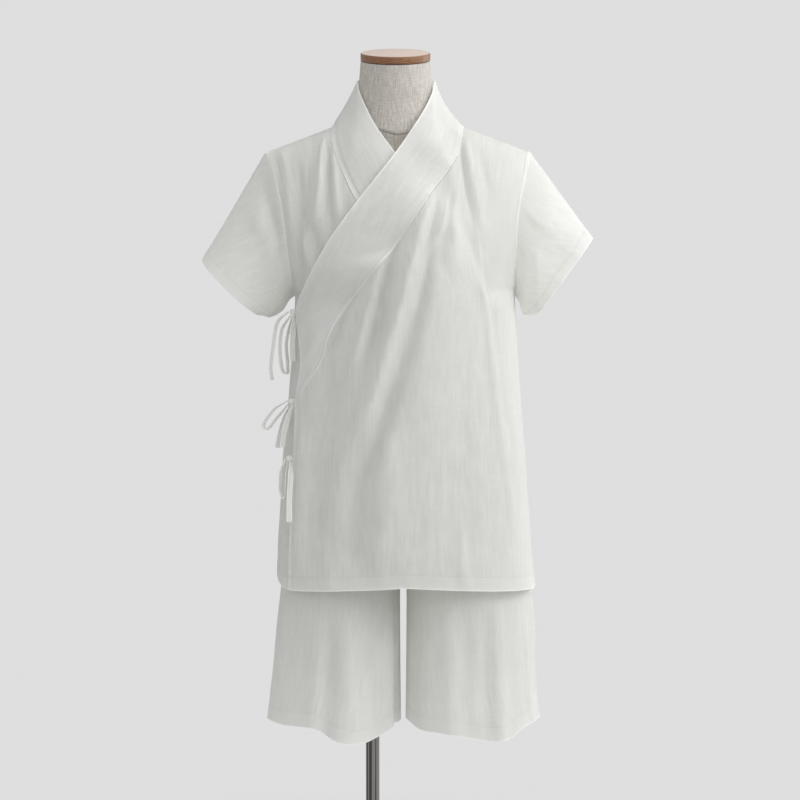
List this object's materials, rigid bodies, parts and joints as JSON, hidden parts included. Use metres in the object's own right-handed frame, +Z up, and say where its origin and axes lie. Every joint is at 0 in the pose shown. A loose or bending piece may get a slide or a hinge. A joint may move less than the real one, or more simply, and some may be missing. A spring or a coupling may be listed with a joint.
{
  "type": "hanfu pajama set on dress form",
  "caption": "Wrap jacket with a crossed band collar, short sleeves and side ties, over matching shorts, worn by a limbless dress form on a pole and round base.",
  "frame": {"origin": "middle of the round base plate's underside, on the pole's axis", "axes": "+Z up along the pole, the front of the garment faces -Y, the wearer's right is at -X"},
  "size_m": [0.6217, 0.38, 1.5241],
  "materials": {
    "white_cotton": "matt plain weave",
    "linen_cover": "matt linen",
    "oiled_oak": "oiled",
    "dark_steel": "satin",
    "grey_enamel": "satin enamel"
  },
  "bodies": {
    "root": {"jacket_back": "white_cotton", "jacket_front_outer": "white_cotton", "jacket_front_under": "white_cotton", "collar_outer": "white_cotton", "collar_under": "white_cotton", "sleeve_left": "white_cotton", "sleeve_right": "white_cotton", "shorts_front_left": "white_cotton", "shorts_front_right": "white_cotton", "shorts_back_left": "white_cotton", "shorts_back_right": "white_cotton", "shorts_waistband": "white_cotton", "tie_upper_knot": "white_cotton", "tie_upper_loop_outer": "white_cotton", "tie_upper_tail_outer": "white_cotton", "tie_upper_tail_inner": "white_cotton", "tie_middle_knot": "white_cotton", "tie_middle_loop_outer": "white_cotton", "tie_middle_tail_outer": "white_cotton", "tie_middle_tail_inner": "white_cotton", "tie_lower_knot": "white_cotton", "tie_lower_loop_outer": "white_cotton", "tie_lower_tail_inner": "white_cotton", "form_torso": "linen_cover", "neck_cap": "oiled_oak", "pole": "dark_steel", "pole_socket": "dark_steel", "base_hub": "grey_enamel", "base_plate": "grey_enamel"}
  },
  "joints": []
}
